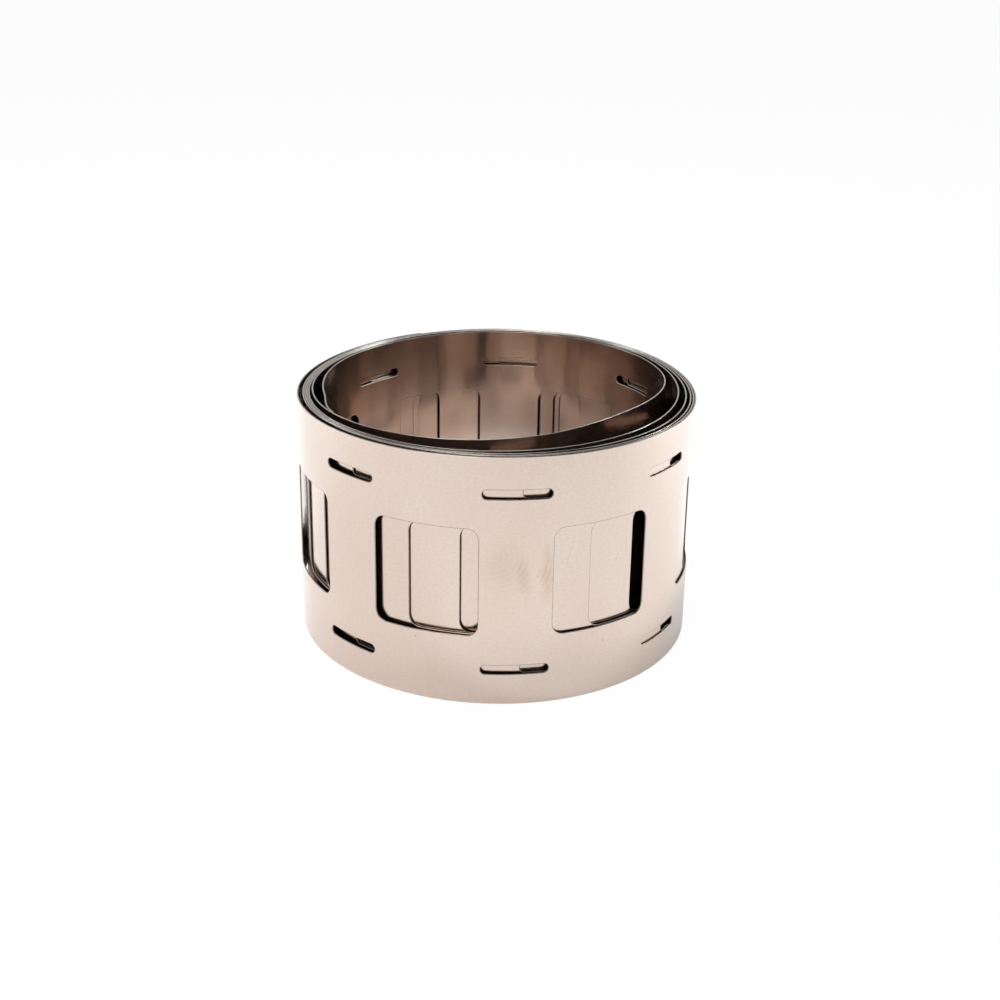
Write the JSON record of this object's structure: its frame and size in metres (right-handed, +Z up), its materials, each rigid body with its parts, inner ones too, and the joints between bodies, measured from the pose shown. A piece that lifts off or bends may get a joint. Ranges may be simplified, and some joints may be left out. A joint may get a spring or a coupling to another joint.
{
  "type": "coil of punched nickel strip",
  "caption": "Coil of thin nickel strip standing on its edge, punched with square windows and rows of weld slots for joining battery cells in parallel.",
  "frame": {"origin": "centre of the coil's overall size in plan, at the level of its lower edge", "axes": "+Z up along the coil's axis, +Y from the front to the back, +X to the right"},
  "size_m": [0.0447, 0.0514, 0.027],
  "materials": {
    "nickel": "satin rolled nickel"
  },
  "bodies": {
    "root": {"nickel_strip": "nickel"}
  },
  "joints": []
}
